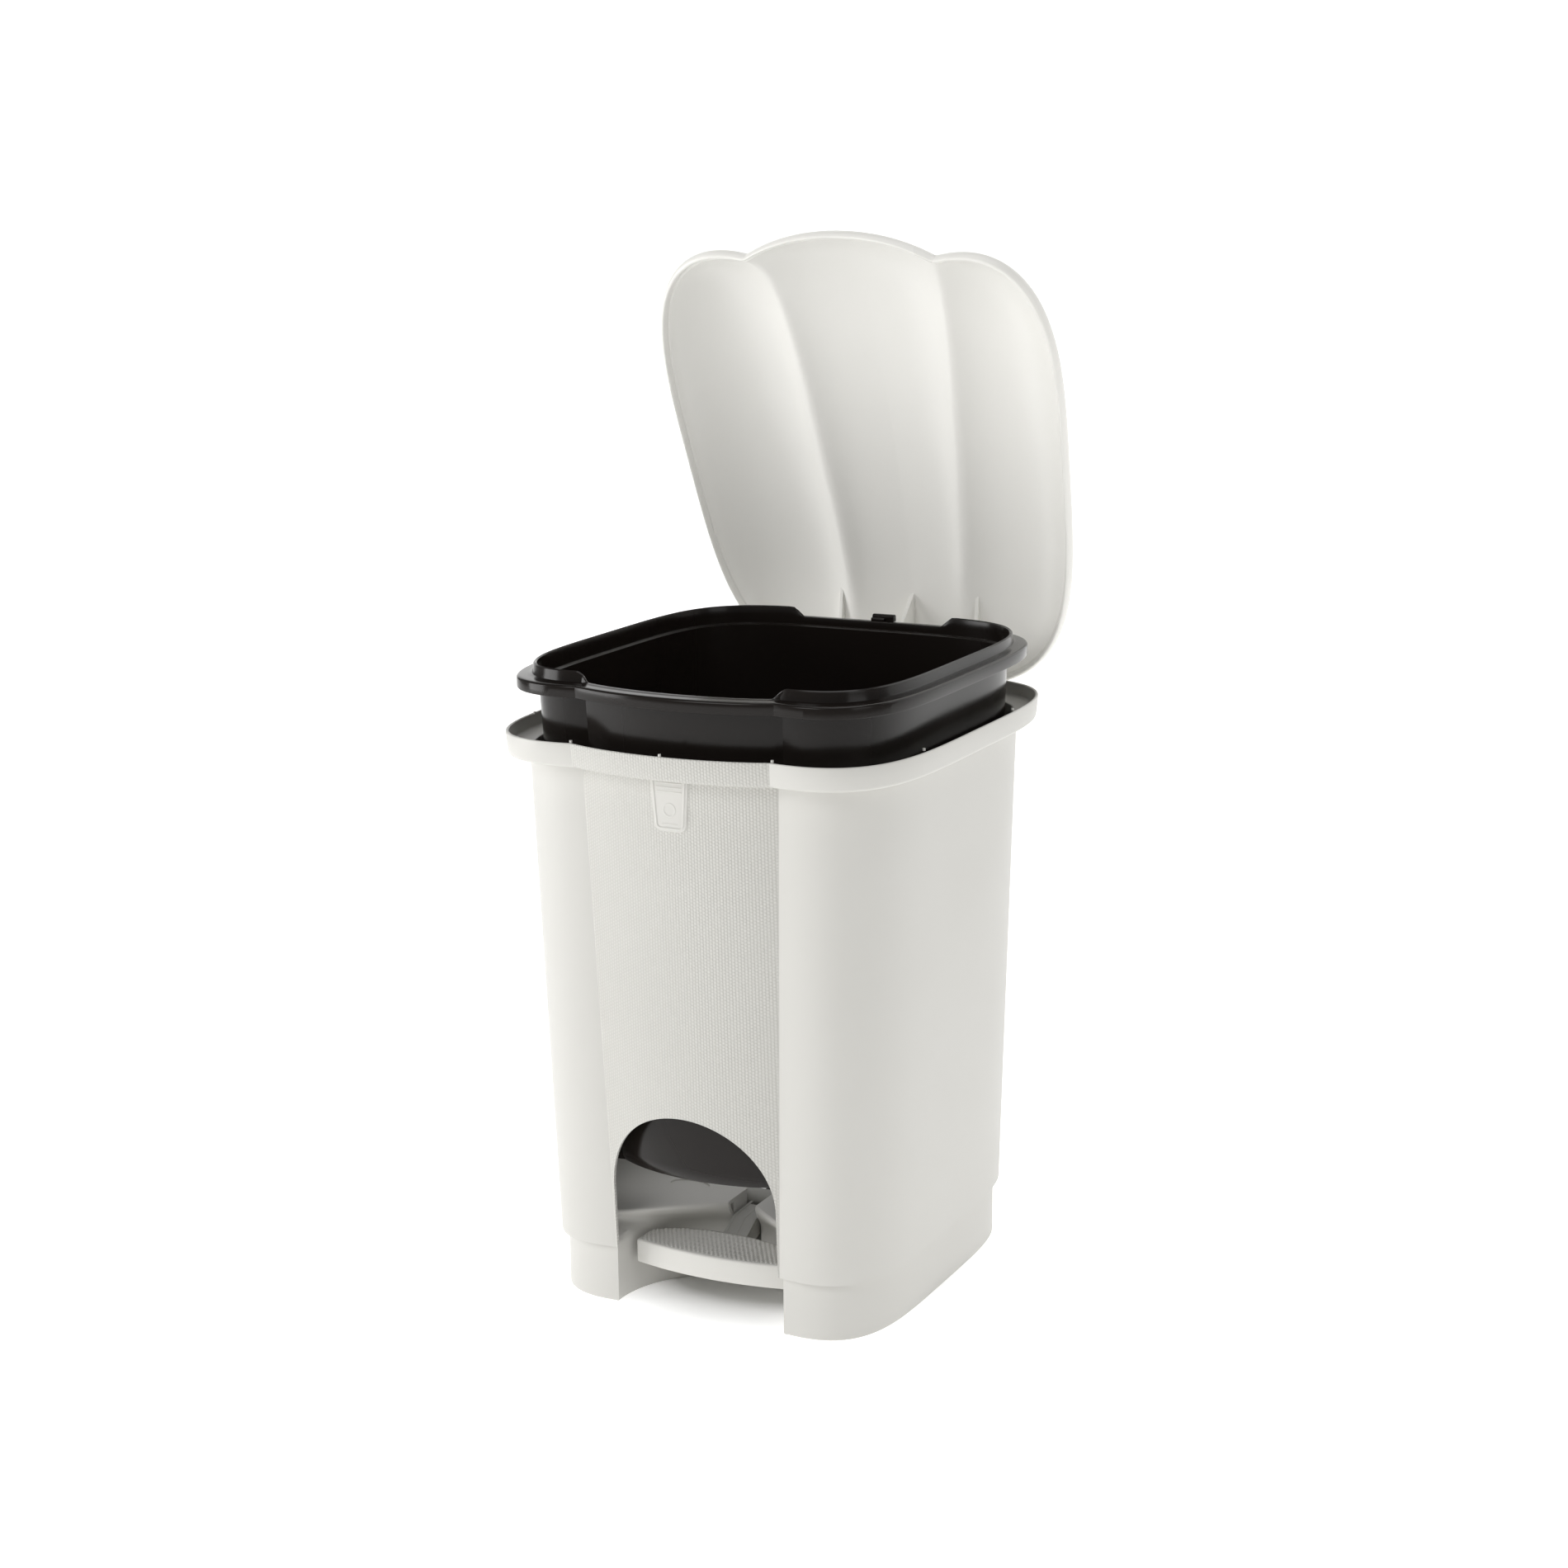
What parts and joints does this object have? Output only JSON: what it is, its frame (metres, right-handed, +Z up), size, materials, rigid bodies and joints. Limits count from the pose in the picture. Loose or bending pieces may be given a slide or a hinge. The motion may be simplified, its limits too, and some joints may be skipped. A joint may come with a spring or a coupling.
{
  "type": "pedal trash can",
  "caption": "Free-standing pedal trash can with a scalloped body, domed hinged lid, lift-out bucket and a foot pedal that opens the lid through a push rod.",
  "frame": {"origin": "centre of the body's footprint, on the floor", "axes": "+Z up, -Y out of the front where the pedal is, +X to the viewer's right when facing the front"},
  "size_m": [0.3132, 0.3983, 0.7219],
  "materials": {
    "shell_plastic": "satin",
    "inner_plastic": "satin",
    "bucket_plastic": "glossy",
    "steel": "plain"
  },
  "bodies": {
    "body": {"outer_shell": "shell_plastic", "rim_buffers": "shell_plastic", "front_badge": "shell_plastic", "base_plinth": "shell_plastic", "hinge_bracket_left": "shell_plastic", "hinge_bracket_right": "shell_plastic", "hinge_pin_left": "steel", "hinge_pin_right": "steel", "rod_cover": "shell_plastic", "rod_guide_lower": "inner_plastic", "rod_guide_upper": "inner_plastic", "pedal_axle": "steel", "axle_cap_left": "inner_plastic", "axle_cap_right": "inner_plastic"},
    "lid": {"lid": "shell_plastic"},
    "pedal": {"pedal_tread": "shell_plastic", "pedal_lever": "inner_plastic"},
    "rod": {"push_rod": "steel", "rod_head": "inner_plastic", "rod_foot": "inner_plastic", "rod_foot_pin": "steel"},
    "bucket": {"bucket": "bucket_plastic", "bucket_tab": "bucket_plastic"}
  },
  "joints": [
    {"name": "lid_hinge", "type": "hinge", "parent": "body", "child": "lid", "pos_m": [0, 0.182, 0.374], "axis": [-1, 0, 0], "range_deg": [-70, 0]},
    {"name": "pedal_pivot", "type": "hinge", "parent": "body", "child": "pedal", "pos_m": [0, -0.028, 0.05], "axis": [-1, 0, 0], "range_deg": [0, 8.1]},
    {"name": "rod_slide", "type": "slide", "parent": "body", "child": "rod", "axis": [0, 0, 1], "range_m": [-0.0265, 0]},
    {"name": "bucket_lift", "type": "slide", "parent": "body", "child": "bucket", "axis": [0, 0, 1], "range_m": [-0.0381, 0]}
  ],
  "couplings": [
    {"joint": "pedal_pivot", "follows": "lid_hinge", "ratio": -0.11486},
    {"joint": "rod_slide", "follows": "lid_hinge", "m_per_rad": 0.021609},
    {"joint": "bucket_lift", "follows": "lid_hinge", "m_per_rad": 0.031103}
  ]
}
